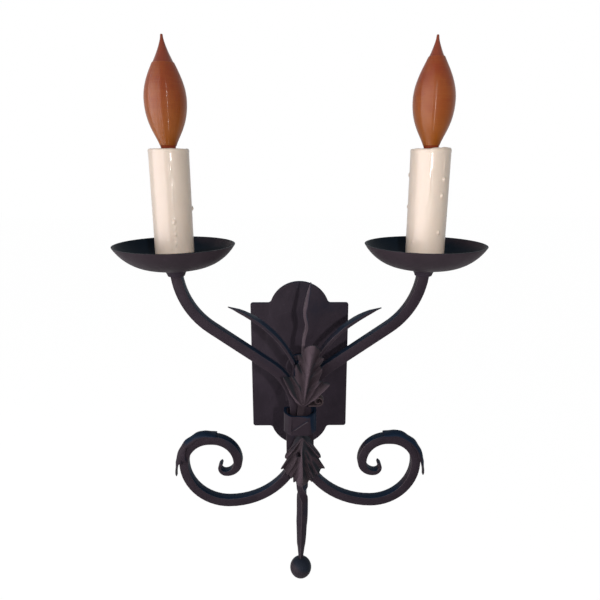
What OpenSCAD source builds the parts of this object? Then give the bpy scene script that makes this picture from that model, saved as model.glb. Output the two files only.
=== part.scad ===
// Two-light candle sconce in forged iron: an arched wall plate, a stand-off, two square tube arms
// and a bundle of scrolls, blades and leaves bound by one collar. The origin is the centre of the
// fixing nipple on the wall, X runs right along the wall, -Y points into the room and Z is up.

/* [Wall plate] */
// Width of the wall plate
plate_w = 97; // [80:1:120]
// Height of the plate between its shoulders
plate_h = 134; // [110:1:150]
// Thickness of the plate
plate_t = 2.5; // [1.5:0.5:4]
// Rise of the arched lobe above the shoulder
lobe_rise = 21.5; // [16:0.5:26]
// Half width of the lobe where it meets the shoulder line
lobe_half = 28.6; // [22:0.2:34]
// Radius of the small hollow at the foot of the lobe
lobe_fillet = 3.5; // [2:0.5:6]
// Radius of the plate's four corners
plate_corner = 2.5; // [1:0.5:5]

/* [Wall fixing] */
// Clear distance from the plate to the arms
standoff_gap = 57; // [40:1:75]
// Outer diameter of the stand-off tube
standoff_od = 15; // [14.5:0.5:18]
// Bore of the stand-off tube
standoff_bore = 12.4; // [12:0.1:13]
// Diameter of the check ring at the plate
ring_od = 28; // [22:1:34]
// Thickness of the check ring
ring_t = 3; // [2:0.5:5]
// Outer diameter of the threaded nipples, in the wall box and under each candle
nipple_od = 10; // [9.6:0.1:10.2]
// Bore of the nipples
nipple_bore = 7; // [6:0.5:7.5]
// Length of the threaded bush in the stand-off
bush_len = 12; // [8:1:20]

/* [Arms] */
// Distance from the centre line to each candle
arm_reach = 105; // [95:0.5:125]
// Width of the square arm tube
arm_bar = 9; // [8:0.5:12]
// Wall of the arm tube
arm_wall = 1.5; // [1:0.25:2]
// Slope of the straight run above level, in degrees
arm_slope = 35.2; // [28:0.2:42]
// Radius of the upper bend, on the centre line
arm_upper_r = 66; // [50:1:80]
// Radius of the lower bend, on the centre line
arm_lower_r = 52; // [40:1:60]
// Drop from the stand-off axis to the start of the lower bend
arm_drop = 16.8; // [14:0.2:20]
// Angle of the upper bend that is cut off under the cup
arm_cut = 7; // [5:0.5:16]

/* [Collar] */
// Height of the wrapped collar
collar_h = 18.6; // [16:0.2:24]
// Drop from the stand-off axis to the top of the collar
collar_drop = 18; // [17:0.5:21]
// Thickness of the collar strap
collar_t = 2; // [1.5:0.25:3]
// Outer width of the collar's front face
collar_front = 18.6; // [17:0.2:24]
// Clear pocket in the collar in front of the arms
collar_pocket = 7; // [6:0.5:9]

/* [Scrolls and drop] */
// Width of the square scroll bar
scroll_bar = 8.3; // [6.5:0.1:9]
// Radius of the sweep that leaves the bundle
scroll_root_r = 16.9; // [10:0.1:20]
// Radius of the long lower sweep
scroll_low_r = 68; // [60:1:78]
// Radius of the outer quarter
scroll_outer_r = 41; // [36:1:46]
// Radius of the top quarter
scroll_top_r = 24.5; // [22:0.5:28]
// Radius of the inner quarter
scroll_inner_r = 23; // [21:0.5:24]
// Thickness of the beaten end of the scroll
scroll_tip_t = 2.4; // [1.5:0.1:4]
// Length of scroll bar that hangs straight below the collar
scroll_hang = 37; // [30:1:44]
// Width of the square drop bar
drop_bar = 8.2; // [6:0.1:9]
// Length of the drop bar below the collar
drop_len = 142.3; // [110:1:150]
// Width of the drop bar where it meets the ball
drop_tip = 3.2; // [2.5:0.1:4]
// Diameter of the ball
ball_d = 21; // [16:0.2:26]

/* [Blades] */
// Thickness of the reed blades
blade_t = 2.8; // [1.6:0.1:3]
// How far the reed blades stand in front of the arms
blade_proud = 2.5; // [0:0.25:4]
// Radius of the side blades' curve
blade_r = 96; // [85:1:115]
// Turn of the side blades from foot to tip, in degrees
blade_turn = 62; // [45:1:66]
// Height of the wavy centre blade above its first bend
reed_top = 24; // [14:1:30]

/* [Leaves] */
// Thickness of the leaf sheet
leaf_t = 1.4; // [1:0.1:2]
// Length of the upper leaf
upper_leaf_len = 58; // [48:1:62]
// Sideways lean of the upper leaf, in degrees
upper_leaf_lean = 8.5; // [0:1:10]
// Length of the lower leaf
lower_leaf_len = 50; // [40:1:54]
// Height of the midrib over the leaf's edges
leaf_ridge = 4; // [2:0.5:5]

/* [Candle cups] */
// Diameter of the cup at its rim
cup_d = 101; // [88:1:112]
// Depth of the cup outside
cup_depth = 20; // [16:0.5:26]
// Thickness of the cup
cup_t = 1.5; // [1:0.25:2]
// Flat at the middle of the cup, outside
cup_flat = 32; // [30:1:40]
// Height of the flared boss under the cup
boss_h = 7; // [6:0.5:12]

/* [Candles] */
// Outer diameter of the candle sleeve
sleeve_od = 32; // [29:0.5:35]
// Bore of the candle sleeve
sleeve_bore = 23; // [22.5:0.1:24]
// Length of the candle sleeve
sleeve_len = 95; // [88:1:110]
// Depth that the socket sits below the sleeve's rim
socket_sink = 7; // [5:0.5:10]
// Clearance round each sliding or screwed piece
fit_gap = 0.3; // [0.2:0.05:0.4]
// Lift of a candle sleeve before it meets the bulb
sleeve_lift = 7; // [3:1:8]

/* [Bulbs] */
// Largest diameter of the flame bulb over its winding
bulb_d = 33; // [30:0.5:36]
// Height of the bulb from the sleeve's rim to its tip
bulb_h = 84; // [76:1:92]
// Height of the widest place above the sleeve's rim
bulb_belly = 36; // [30:1:42]
// Diameter of the bulb's neck
bulb_neck = 12.4; // [11.5:0.1:13]
// Thickness of the glass
glass_t = 0.7; // [0.5:0.1:1]
// Thickness of the thread wound round the glass
thread_t = 0.35; // [0.2:0.05:0.6]
// Diameter of the screw base
base_d = 11.9; // [11.5:0.1:12.2]
// Length of the screw base
base_len = 15; // [13:0.5:17]

/* [Hidden] */

iron = [0.30, 0.22, 0.21];
zinc = [0.72, 0.72, 0.70];
bare_brass = [0.78, 0.62, 0.32];
resin = [0.90, 0.85, 0.72];
amber = [0.90, 0.55, 0.25, 0.6];

// Depths, counted from the wall
plate_face = -plate_t;
fixing_bore = nipple_od + 2 * fit_gap;
plane_y = plate_face - standoff_gap - arm_bar / 2;
arm_back = plane_y + arm_bar / 2;
arm_front = plane_y - arm_bar / 2;
bridge_t = 3;
bridge_w = 26;
bridge_h = 22;
slot_w = 19;
slot_h = 8;

// The bundle in the collar
weld_gap = 0.2;
collar_top = -collar_drop;
collar_bottom = collar_top - collar_h;
bundle_split = (collar_top + collar_bottom) / 2;
scroll_x = drop_bar / 2 + scroll_bar / 2 + weld_gap;
collar_back = scroll_x + scroll_bar / 2 + weld_gap + collar_t;
pocket_face = arm_front - collar_pocket;

// The arm's centre line, from the collar up to the cup
arm_turn = 90 - arm_slope;
arm_foot_x = arm_bar / 2 + weld_gap / 2;
low_x = arm_foot_x + arm_lower_r * (1 - cos(arm_turn));
low_z = arm_lower_r * sin(arm_turn) - arm_drop;
up_x = arm_reach - arm_upper_r * (1 - cos(arm_turn));
run_len = (up_x - low_x) / cos(arm_slope);
up_z = low_z + run_len * sin(arm_slope);
upper_x = arm_reach - arm_upper_r;
upper_z = up_z + arm_upper_r * sin(arm_turn);
arm_top = upper_z - arm_upper_r * sin(arm_cut);

// Heights of one light, from the boss up
boss_top = arm_top + boss_h;
cup_floor = boss_top + cup_t;
rim_z = boss_top + cup_depth;
cup_nut_t = 3;
sleeve_foot = cup_floor + weld_gap;
sleeve_top = sleeve_foot + sleeve_len;
socket_h = 28;
socket_top = sleeve_top - socket_sink;
socket_od = sleeve_bore - 4 * fit_gap;
leg_foot = cup_floor + cup_nut_t;
leg_t = 1.2;
base_top = sleeve_top - 4;
base_foot = base_top - base_len;
contact_drop = 3.7;
shell_bore = base_d + 2 * fit_gap;

// Lead hole in the back of each arm
lead_d = 2.6;
lead_z = -2;

// Faces of a closed skin over rings that each have as many points
function skin_faces(rings, sides) = concat(
    [[for (i = [sides - 1:-1:0]) i]],
    [for (k = [0:rings - 2]) for (i = [0:sides - 1]) let (j = (i + 1) % sides)
        each [[k * sides + i, k * sides + j, (k + 1) * sides + i],
            [k * sides + j, (k + 1) * sides + j, (k + 1) * sides + i]]],
    [[for (i = [0:sides - 1]) (rings - 1) * sides + i]]);

module skin(rings) {
    polyhedron(points = [for (r = rings) each r], faces = skin_faces(len(rings), len(rings[0])),
        convexity = 10);
}

// A path of straights [length, 0] and arcs [radius, turn], as [x, z, heading] at each step
function walk(parts, p, heading, step, i = 0) = i == len(parts) ? [[p[0], p[1], heading]] :
    let (size = parts[i][0], turn = parts[i][1], hand = sign(turn),
        n = max(1, ceil(abs(turn) / step)), out = heading + turn,
        centre = [p[0] - hand * size * sin(heading), p[1] + hand * size * cos(heading)])
    turn == 0 ?
        concat([[p[0], p[1], heading]],
            walk(parts, [p[0] + size * cos(heading), p[1] + size * sin(heading)], heading, step, i + 1)) :
        concat([for (k = [0:n - 1]) let (b = heading + turn * k / n)
                [centre[0] + hand * size * sin(b), centre[1] - hand * size * cos(b), b]],
            walk(parts, [centre[0] + hand * size * sin(out), centre[1] - hand * size * cos(out)],
                out, step, i + 1));

function step_len(path, k) = norm([path[k][0] - path[k - 1][0], path[k][1] - path[k - 1][1]]);
// Distance along a path at each of its steps
function runs(path, k = 0, total = 0) = k >= len(path) ? [] :
    let (now = k == 0 ? 0 : total + step_len(path, k)) concat([now], runs(path, k + 1, now));

function smooth(t) = let (u = min(1, max(0, t))) u * u * (3 - 2 * u);
function blend(a, b, t) = a + (b - a) * t;
function last(list) = list[len(list) - 1];

// A path step at a fractional place in the list
function between(path, u) = let (i = min(len(path) - 2, floor(u))) blend(path[i], path[i + 1], u - i);

// Value of a table of [place, value] pairs, level at each place
function level_curve(table, x, i = 0) = x <= table[0][0] ? table[0][1] :
    i >= len(table) - 1 ? last(table)[1] :
    x <= table[i + 1][0] ?
        blend(table[i][1], table[i + 1][1], smooth((x - table[i][0]) / (table[i + 1][0] - table[i][0]))) :
        level_curve(table, x, i + 1);

function bezier(p, t) =
    p[0] * pow(1 - t, 3) + p[1] * 3 * t * pow(1 - t, 2) + p[2] * 3 * pow(t, 2) * (1 - t) + p[3] * pow(t, 3);

// Four corners of a flat bar across a path step: thickness in the path's plane, front and back in Y
function bar_ring(step, thick, front, back) = let (n = [-sin(step[2]), cos(step[2])] * thick / 2) [
    [step[0] + n[0], front, step[1] + n[1]], [step[0] + n[0], back, step[1] + n[1]],
    [step[0] - n[0], back, step[1] - n[1]], [step[0] - n[0], front, step[1] - n[1]]];

// Sheet between an outer and an inner grid of points that have the same shape
function grid_faces(n, m, at, flip) = [for (i = [0:n - 2]) for (j = [0:m - 2]) let (a = at + i * m + j)
    each (flip ? [[a, a + 1, a + m], [a + 1, a + m + 1, a + m]] :
        [[a, a + m, a + 1], [a + 1, a + m, a + m + 1]])];
function sheet_faces(n, m) = let (back = n * m) concat(
    grid_faces(n, m, 0, false),
    grid_faces(n, m, back, true),
    [for (j = [0:m - 2]) each [[j, j + 1, back + j], [j + 1, back + j + 1, back + j]]],
    [for (j = [0:m - 2]) let (a = (n - 1) * m + j)
        each [[a, back + a, a + 1], [a + 1, back + a, back + a + 1]]],
    [for (i = [0:n - 2]) let (a = i * m)
        each [[a, back + a, a + m], [a + m, back + a, back + a + m]]],
    [for (i = [0:n - 2]) let (a = i * m + m - 1)
        each [[a, a + m, back + a], [a + m, back + a + m, back + a]]]);
module sheet(outer, inner) {
    polyhedron(points = concat([for (row = outer) each row], [for (row = inner) each row]),
        faces = sheet_faces(len(outer), len(outer[0])), convexity = 10);
}

module at_side(side) {
    if (side > 0) children();
    else mirror([1, 0, 0]) children();
}

module along_y(from) {
    translate([0, from, 0]) rotate([90, 0, 0]) children();
}

module tube(outer, inner, from, length) {
    translate([0, 0, from]) difference() {
        cylinder(d = outer, h = length, $fn = 64);
        translate([0, 0, -1]) cylinder(d = inner, h = length + 2, $fn = 64);
    }
}

// One lobe of the plate, above the line y = 0
module plate_lobe() {
    lobe_r = (lobe_half * lobe_half + lobe_rise * lobe_rise) / (2 * lobe_rise);
    lobe_y = lobe_rise - lobe_r;
    fillet_x = sqrt(pow(lobe_r + lobe_fillet, 2) - pow(lobe_fillet - lobe_y, 2));
    meet_x = fillet_x * lobe_r / (lobe_r + lobe_fillet);
    meet_y = lobe_y + (lobe_fillet - lobe_y) * lobe_r / (lobe_r + lobe_fillet);
    difference() {
        union() {
            translate([0, lobe_y]) circle(r = lobe_r, $fn = 96);
            polygon([[-fillet_x, -1], [fillet_x, -1], [fillet_x, 0], [meet_x, meet_y],
                [-meet_x, meet_y], [-fillet_x, 0]]);
        }
        for (s = [-1, 1]) translate([s * fillet_x, lobe_fillet]) circle(r = lobe_fillet, $fn = 48);
        translate([-plate_w, -2 * plate_w - 1]) square(2 * plate_w);
    }
}

module backplate() {
    color(iron) difference() {
        along_y(0) linear_extrude(plate_t) union() {
            square([plate_w - 2 * plate_corner, plate_h], center = true);
            square([plate_w, plate_h - 2 * plate_corner], center = true);
            for (x = [-1, 1]) for (z = [-1, 1])
                translate([x * (plate_w / 2 - plate_corner), z * (plate_h / 2 - plate_corner)])
                    circle(r = plate_corner, $fn = 32);
            translate([0, plate_h / 2]) plate_lobe();
            mirror([0, 1]) translate([0, plate_h / 2]) plate_lobe();
        }
        along_y(1) cylinder(d = fixing_bore, h = plate_t + 2, $fn = 64);
    }
}

// Turned ring with a rounded rim, which carries the stand-off on the plate
module check_ring() {
    color(iron) along_y(plate_face) difference() {
        union() {
            cylinder(d = ring_od - ring_t, h = ring_t, $fn = 96);
            translate([0, 0, ring_t / 2]) rotate_extrude($fn = 96)
                translate([ring_od / 2 - ring_t / 2, 0]) circle(r = ring_t / 2, $fn = 32);
        }
        translate([0, 0, -1]) cylinder(d = fixing_bore, h = ring_t + 2, $fn = 64);
    }
}

// Bush in the end of the stand-off, which the wall's nipple screws into
module standoff_bush() {
    color(bare_brass) along_y(plate_face - ring_t)
        tube(standoff_bore - weld_gap, fixing_bore, weld_gap, bush_len);
}

module standoff_tube() {
    color(iron) along_y(plate_face - ring_t)
        tube(standoff_od, standoff_bore, 0, standoff_gap - ring_t - bridge_t);
}

// A flat plate welded across the backs of both arms, which carries the stand-off
module arm_bridge() {
    color(iron) difference() {
        translate([-bridge_w / 2, arm_back, -bridge_h / 2]) cube([bridge_w, bridge_t, bridge_h]);
        along_y(arm_back + bridge_t + 1) linear_extrude(bridge_t + 2) {
            square([slot_w - slot_h, slot_h], center = true);
            for (s = [-1, 1]) translate([s * (slot_w - slot_h) / 2, 0]) circle(d = slot_h, $fn = 32);
        }
    }
}

// A square bar of this size, bent along the arm's centre line, from its closed end to the cup
module arm_run(size, below, above) {
    path = walk([[-arm_drop - bundle_split - below, 0], [arm_lower_r, -arm_turn], [run_len, 0],
        [arm_upper_r, arm_turn - above]], [arm_foot_x, bundle_split + below], 90, 4);
    skin([for (step = path) bar_ring(step, size, plane_y - size / 2, plane_y + size / 2)]);
}

function arm_x(z) = arm_foot_x + arm_lower_r - sqrt(pow(arm_lower_r, 2) - pow(z + arm_drop, 2));
module arm(side) {
    color(iron) at_side(side) difference() {
        arm_run(arm_bar, 0, arm_cut - 4);
        arm_run(arm_bar - 2 * arm_wall, 3, arm_cut - 5);
        translate([arm_reach - 2 * arm_bar, plane_y - arm_bar, arm_top])
            cube([4 * arm_bar, 2 * arm_bar, 2 * arm_bar]);
        translate([arm_x(lead_z) - 0.5, arm_back + 1, lead_z]) rotate([90, 0, 0])
            cylinder(d = lead_d + 1.4, h = arm_wall + 2, $fn = 32);
    }
}

// The collar's cross-section: wide round the bars at the back, narrow over the leaf stems in front
module collar_outline(inset) {
    front = collar_front / 2 - inset;
    back = collar_back - inset;
    y0 = pocket_face - collar_t + inset;
    y1 = arm_back + weld_gap + collar_t - inset;
    knee = arm_front + 0.1 * inset;
    polygon([[-front, y0], [front, y0], [back, knee], [back, y1], [-back, y1], [-back, knee]]);
}

module collar() {
    color(iron) {
        translate([0, 0, collar_bottom]) linear_extrude(collar_h) difference() {
            collar_outline(0);
            collar_outline(collar_t);
        }
        // the slanting edge of the lapped strap shows on the front face
        translate([0, pocket_face - collar_t, bundle_split]) rotate([0, -36, 0])
            translate([-9, -0.6, -0.8]) cube([18, 0.8, 1.6]);
    }
}

// Scroll: straight out of the bundle, a long sweep, then quarters that close in on the beaten end
scroll_parts = [
    [bundle_split - weld_gap - collar_bottom + scroll_hang, 0],
    [scroll_root_r, 35],
    [scroll_low_r, 55],
    [scroll_outer_r, 90],
    [scroll_top_r, 90],
    [2.8, 0],
    [scroll_inner_r, 90],
    [scroll_inner_r / 2, 90],
    [scroll_inner_r / 4, 90],
    [scroll_inner_r / 5, 65]];
scroll_path = walk(scroll_parts, [scroll_x, bundle_split - weld_gap], -90, 6);
scroll_runs = runs(scroll_path);
scroll_taper = 36;
module scroll(side) {
    color(iron) at_side(side) skin([for (k = [0:len(scroll_path) - 1])
        let (left = last(scroll_runs) - scroll_runs[k])
        bar_ring(scroll_path[k], blend(scroll_tip_t, scroll_bar, smooth(left / scroll_taper)),
            plane_y - scroll_bar / 2, plane_y + scroll_bar / 2)]);
}

// Drop: square in the collar, a quarter twist at mid length, then a taper to the ball, a little bent
drop_sizes = [[0, 1], [60, 1], [80, 0.97], [98, 0.97], [108, 0.88], [119, 0.82], [125, 0.74],
    [131, 0.61], [137, 0.49], [drop_len, 0.4]];
drop_turns = [[0, 0], [39, 0], [54, 45], [57, 45], [77, 90], [drop_len, 90]];
drop_sways = [[0, 0], [40, 0], [62, 2.2], [86, 2.2], [110, 1.5], [131, 1], [drop_len, 0.7]];
ball_z = collar_bottom - drop_len - ball_d / 2;
drop_heights = concat([bundle_split - weld_gap],
    [for (k = [0:34]) blend(collar_bottom, collar_bottom - drop_len, k / 34)]);
module drop_piece() {
    color(iron) skin([for (z = drop_heights)
        let (s = collar_bottom - z, a = level_curve(drop_turns, s),
            size = max(drop_tip, drop_bar * level_curve(drop_sizes, s)))
        [for (q = [0:3]) let (b = a + 45 - 90 * q)
            [level_curve(drop_sways, s) + size / sqrt(2) * cos(b), plane_y + size / sqrt(2) * sin(b), z]]]);
}

module ball_finial() {
    color(iron) translate([last(drop_sways)[1], plane_y, ball_z]) difference() {
        sphere(d = ball_d, $fn = 96);
        translate([0, 0, ball_d / 2 - 0.3]) cylinder(d = 2 * ball_d, h = ball_d, $fn = 64);
    }
}

// Reed blades: flat strips on edge that stand in the fork of the arms
blade_w = arm_bar + blade_proud - weld_gap;
blade_y = arm_front - blade_proud + blade_w / 2;
fork_shift = 1.3;
fork_edge = fork_shift + 1.5 * blade_t + 2 * weld_gap;
fork_r = arm_lower_r + arm_bar / 2;
blade_foot = fork_r * sin(acos((arm_foot_x + arm_lower_r - fork_edge) / fork_r)) - arm_drop + 0.5;
module blade(path) {
    run = runs(path);
    color(iron) skin([for (k = [0:len(path) - 1])
        let (left = last(run) - run[k], half = blade_w / 2 * smooth(0.18 + 0.82 * left / 28))
        bar_ring(path[k], blend(0.8, blade_t, smooth(left / 12)), blade_y - half, blade_y + half)]);
}

left_reed = walk([[6, 0], [36, -21], [blade_r - 2, 13 - blade_turn]],
    [blade_t + weld_gap - fork_shift, blade_foot], 88, 3.2);
right_reed = walk([[9, 0], [40, 6], [blade_r, 10 - blade_turn]],
    [blade_t + weld_gap + fork_shift, blade_foot], 64, 3.2);
reed_bend = [[17, 0], [24, 0], [28, -12], [5, 0], [14, 27], [5, 0], [16, -24]];
reed_run = walk(reed_bend, [fork_shift, blade_foot], 87.3, 5);
reed_end = last(reed_run);
centre_reed = concat(reed_run, [for (k = [1:5]) let (d = reed_top * k / 5)
    [reed_end[0] + d * cos(reed_end[2]), reed_end[1] + d * sin(reed_end[2]), reed_end[2]]]);

// Leaf of forged sheet. Each row of its table is a vein that leaves the midrib:
// [place along the midrib, length, angle above the horizontal, height of the flute at its end]
leaf_across = [-1, -0.84, -0.66, -0.48, -0.3, -0.13, 0, 0.13, 0.3, 0.48, 0.66, 0.84, 1];
function vein(table, i, t) = let (a = table[i], b = table[i + 1], u = smooth(t)) [
    blend(a[0], b[0], t), blend(a[1], b[1], u), blend(a[2], b[2], t), blend(a[3], b[3], u)];
function veins(table, cuts) = concat(
    [for (i = [0:len(table) - 2]) for (k = [0:cuts - 1]) vein(table, i, k / cuts)], [last(table)]);
// spine holds four [y, z] points of the midrib's curve
function leaf_rows(table, spine, length, thick) = let (k = length / last(table)[0])
    [for (row = veins(table, 3)) [for (v = leaf_across) let (q = abs(v), r = q * row[1] * k,
        t = (row[0] * k + r * sin(row[2])) / length, mid = bezier(spine, t),
        crest = leaf_ridge * smooth((row[1] - 4) / 12) * exp(-r / 5.5),
        flute = row[3] * smooth(1.3 * q))
        [sign(v) * r * cos(row[2]), mid[0] - crest - flute + thick, mid[1]]]];
module leaf(table, spine, length) {
    sheet(leaf_rows(table, spine, length, 0), leaf_rows(table, spine, length, leaf_t));
}

stem_y = pocket_face + 0.8;
upper_foot = bundle_split - 1;
upper_stem = 25.4;
upper_veins = [[0, 3, 0, 0], [12, 3, 0, 0], [19, 3.3, 12, 0], [20.8, 9, 36, 0.2], [21.5, 19, 45, 1],
    [22.6, 32.5, 50, 2.2], [25.5, 29, 51, 1], [28.3, 23.7, 51, -0.8], [31.4, 21.9, 52, 1.2],
    [36.5, 16, 50, -2], [44.4, 20.4, 55, 2], [48.8, 16.5, 57, -1.6], [52.4, 21.9, 58, 1.8],
    [58.4, 14.9, 62, -1], [62, 15, 61, 0.6], [66, 13.2, 61, 1], [71, 10, 58, 0.8], [75.5, 6.6, 50, 0.4],
    [79.5, 3.2, 36, 0], [82.2, 0.4, 10, 0]];
module upper_leaf() {
    length = upper_leaf_len + upper_stem;
    color(iron) translate([0, 0, collar_top]) rotate([0, upper_leaf_lean, 0])
        translate([0, 0, -collar_top]) leaf(upper_veins,
            [[stem_y, upper_foot], [stem_y, upper_foot + length / 3],
                [stem_y - 8.5, upper_foot + length * 2 / 3], [stem_y - 11.5, upper_foot + length]],
            length);
}

lower_foot = bundle_split - 1.4 - weld_gap;
lower_stem = 11;
lower_veins = [[0, 3, 0, 0], [7.9, 3, 0, 0], [8.9, 10.5, 36, 0.2], [9.5, 25.3, 48, 1.7], [12.5, 23.6, 51.7, -1.3],
    [14.5, 33.7, 51.4, 1.7], [18, 30, 56.3, -0.9], [20, 30.7, 61.6, 1.5], [23, 27.3, 63, -1.2],
    [25, 28.7, 67.5, 1.4], [28, 24.8, 68.5, -1], [30, 27.5, 71, 1.2], [34, 22, 74, -0.8],
    [38, 21, 77.4, 0.8], [48, 12.5, 82, 0.3], [60, 1.2, 88, 0], [61, 0.4, 88, 0]];
lower_shift = 2.4;
eye_d = 4.2;
module lower_leaf() {
    length = lower_leaf_len + lower_stem;
    color(iron) difference() {
        translate([lower_shift, 0, 0]) leaf(lower_veins,
            [[stem_y, lower_foot], [stem_y, lower_foot - length / 3],
                [stem_y - 7, lower_foot - length * 2 / 3], [plane_y - 7.6, lower_foot - length]],
            length);
        // the pierced eye between two flutes
        translate([lower_shift - 4, stem_y + 3, lower_foot - 24.8]) rotate([90, 0, 0])
            cylinder(d = eye_d, h = 16, $fn = 32);
    }
}

// The rolled foot lobe of the upper leaf: a tongue on the front of the right arm, rolled at its end
curl_r = 5;
curl_len = 8;
curl_turn = 430;
module leaf_curl() {
    function roll(r, a) = (r - curl_r * a / 900) * [cos(270 + a), sin(270 + a)];
    outer = [for (a = [0:curl_turn / 22:curl_turn]) roll(curl_r, a)];
    inner = [for (k = [22:-1:0]) roll(curl_r - leaf_t, k * curl_turn / 22)];
    color(iron) translate([16.2, arm_front - 0.1, -3.8]) rotate([90, 0, 0]) linear_extrude(curl_len)
        polygon(concat([[-9, -curl_r]], outer, inner, [[-9, leaf_t - curl_r]]));
}

// Leaf laid over the outside of a scroll. It starts past the top of the scroll and ends free
wrap_from = 49.4;
wrap_to = 29.4;
wrap_lift = [[0, 0.1], [0.08, 0.2], [0.2, 1.7], [0.28, 2.1], [0.4, 0.9], [0.5, 1.5], [0.6, 0.8],
    [0.7, 1.2], [0.8, 1.2], [0.88, 2.2], [1, 4.8]];
wrap_width = [[0, 1], [0.5, 1.02], [0.92, 1], [0.96, 0.7], [1, 0.25]];
left_drape = [[0, 0.5], [0.3, 1], [0.42, 2.8], [0.5, 1.5], [0.6, 4.2], [0.7, 7.6], [0.76, 2],
    [0.81, 3.2], [0.85, 0], [1, 0]];
right_drape = [[0, 0.4], [0.25, 0.6], [0.35, 1.6], [0.42, 0.7], [0.52, 1.8], [0.6, 0.8],
    [0.7, 2], [0.8, 0.6], [0.85, 0], [1, 0]];
function wrap_point(u, y, n) = let (p = between(scroll_path, u), out = scroll_bar / 2 + 0.1 + n)
    [p[0] + out * sin(p[2]), plane_y + y, p[1] - out * cos(p[2])];
function wrap_row(a, e, drape) = let (u = blend(wrap_from, wrap_to, a), hang = level_curve(drape, a),
    half = (scroll_bar / 2 + 0.1) * level_curve(wrap_width, a), rise = level_curve(wrap_lift, a),
    crest = 1.1 * smooth(a * 5) * smooth((1 - a) * 5), free = smooth((a - 0.84) * 12),
    shoulder = e * 0.8 + rise * blend(0.45, 1, free))
    concat(
        [wrap_point(u - 0.3 * hang, -half - e, blend(-hang, rise + e * 0.5, free)),
            wrap_point(u - 0.15 * hang, -half - e, blend(-hang / 2, rise + e * 0.6, free))],
        [wrap_point(u, -half - e * 0.7, shoulder), wrap_point(u, -half * 0.55, rise + e + crest * 0.3),
            wrap_point(u, 0, rise + e + crest),
            wrap_point(u, half * 0.55, rise + e + crest * 0.3), wrap_point(u, half + e * 0.7, shoulder)],
        [wrap_point(u - 0.15 * hang, half + e, blend(-hang / 2, rise + e * 0.6, free)),
            wrap_point(u - 0.3 * hang, half + e, blend(-hang, rise + e * 0.5, free))]);
module scroll_leaf(side, drape) {
    steps = 44;
    color(iron) at_side(side) sheet([for (k = [0:steps]) wrap_row(k / steps, leaf_t, drape)],
        [for (k = [0:steps]) wrap_row(k / steps, 0, drape)]);
}

// The flared boss between arm and cup
boss_foot = arm_bar * 0.74;
module boss(side) {
    color(iron) at_side(side) translate([arm_reach, plane_y, arm_top]) difference() {
        rotate_extrude($fn = 96) difference() {
            polygon([[0, 0], [boss_foot, 0], [cup_flat / 2, boss_h - 0.8], [cup_flat / 2, boss_h],
                [0, boss_h]]);
            translate([boss_foot + 10.8, -2.2]) circle(r = 10.6, $fn = 96);
        }
        translate([0, 0, -1]) cylinder(d = nipple_od + 0.2, h = boss_h + 2, $fn = 64);
    }
}

// Shallow round dish with a flat middle
module cup(side) {
    bowl_rise = cup_depth - 0.01;
    reach = cup_d / 2 - cup_flat / 2;
    bowl_r = (reach * reach + bowl_rise * bowl_rise) / (2 * bowl_rise);
    color(iron) at_side(side) translate([arm_reach, plane_y, boss_top]) difference() {
        rotate_extrude($fn = 180) {
            translate([0, 0]) square([cup_flat / 2, cup_t]);
            intersection() {
                translate([cup_flat / 2, bowl_r]) difference() {
                    circle(r = bowl_r, $fn = 180);
                    circle(r = bowl_r - cup_t, $fn = 180);
                }
                translate([cup_flat / 2 - 0.01, 0]) square([cup_d, cup_depth]);
            }
        }
        translate([0, 0, -1]) cylinder(d = nipple_od + 2 * fit_gap, h = cup_t + 2, $fn = 64);
    }
}

module cup_nipple(side) {
    color(zinc) at_side(side) translate([arm_reach, plane_y, 0])
        tube(nipple_od, nipple_bore, arm_top + weld_gap, boss_h + cup_t + cup_nut_t + leg_t + 4);
}

module cup_nut(side) {
    color(zinc) at_side(side) translate([arm_reach, plane_y, cup_floor]) difference() {
        cylinder(d = 14 / cos(30), h = cup_nut_t, $fn = 6);
        translate([0, 0, -1]) cylinder(d = nipple_od + 0.1, h = cup_nut_t + 2, $fn = 64);
    }
}

// Bent strip that carries the socket over the nipple
module socket_leg(side) {
    strip_w = 8;
    strip_y = socket_od / 2 - leg_t - 0.4;
    height = socket_top - socket_h - leg_foot;
    color(zinc) at_side(side) translate([arm_reach, plane_y, leg_foot]) {
        difference() {
            union() {
                cylinder(d = 17, h = leg_t, $fn = 64);
                translate([-strip_w / 2, 0, 0]) cube([strip_w, strip_y + leg_t, leg_t]);
            }
            translate([0, 0, -1]) cylinder(d = nipple_od + 0.1, h = leg_t + 2, $fn = 64);
        }
        translate([-strip_w / 2, strip_y, 0]) cube([strip_w, leg_t, height]);
        translate([-strip_w / 2, strip_y - 7, height - leg_t]) cube([strip_w, 7 + leg_t, leg_t]);
    }
}

// Moulded socket body with two wire holes in its floor
socket_floor = 7;
module socket(side) {
    color([0.16, 0.13, 0.11]) at_side(side) translate([arm_reach, plane_y, socket_top - socket_h])
        difference() {
            cylinder(d = socket_od, h = socket_h, $fn = 96);
            translate([0, 0, socket_floor]) cylinder(d = shell_bore + 1.4, h = socket_h, $fn = 64);
            for (s = [-1, 1]) translate([s * 4, -5, -1]) cylinder(d = 3, h = socket_floor + 2, $fn = 32);
        }
}

module screw_shell(side) {
    length = base_len + 1;
    color(bare_brass) at_side(side) translate([arm_reach, plane_y, 0])
        tube(shell_bore + 1.2, shell_bore, socket_top - 1 - length, length);
}

// Spring tongue under the bulb's contact
module tongue(side) {
    foot = socket_top - socket_h + socket_floor;
    tongue_len = 7.5;
    rise = base_foot - contact_drop - fit_gap - foot - 0.5;
    color(bare_brass) at_side(side) translate([arm_reach, plane_y, foot]) {
        translate([-5, -2, 0]) cube([10, 4, 0.5]);
        translate([-4.6, -2, 0]) rotate([0, -asin(min(0.9, rise / tongue_len)), 0])
            cube([tongue_len, 4, 0.5]);
    }
}

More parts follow.
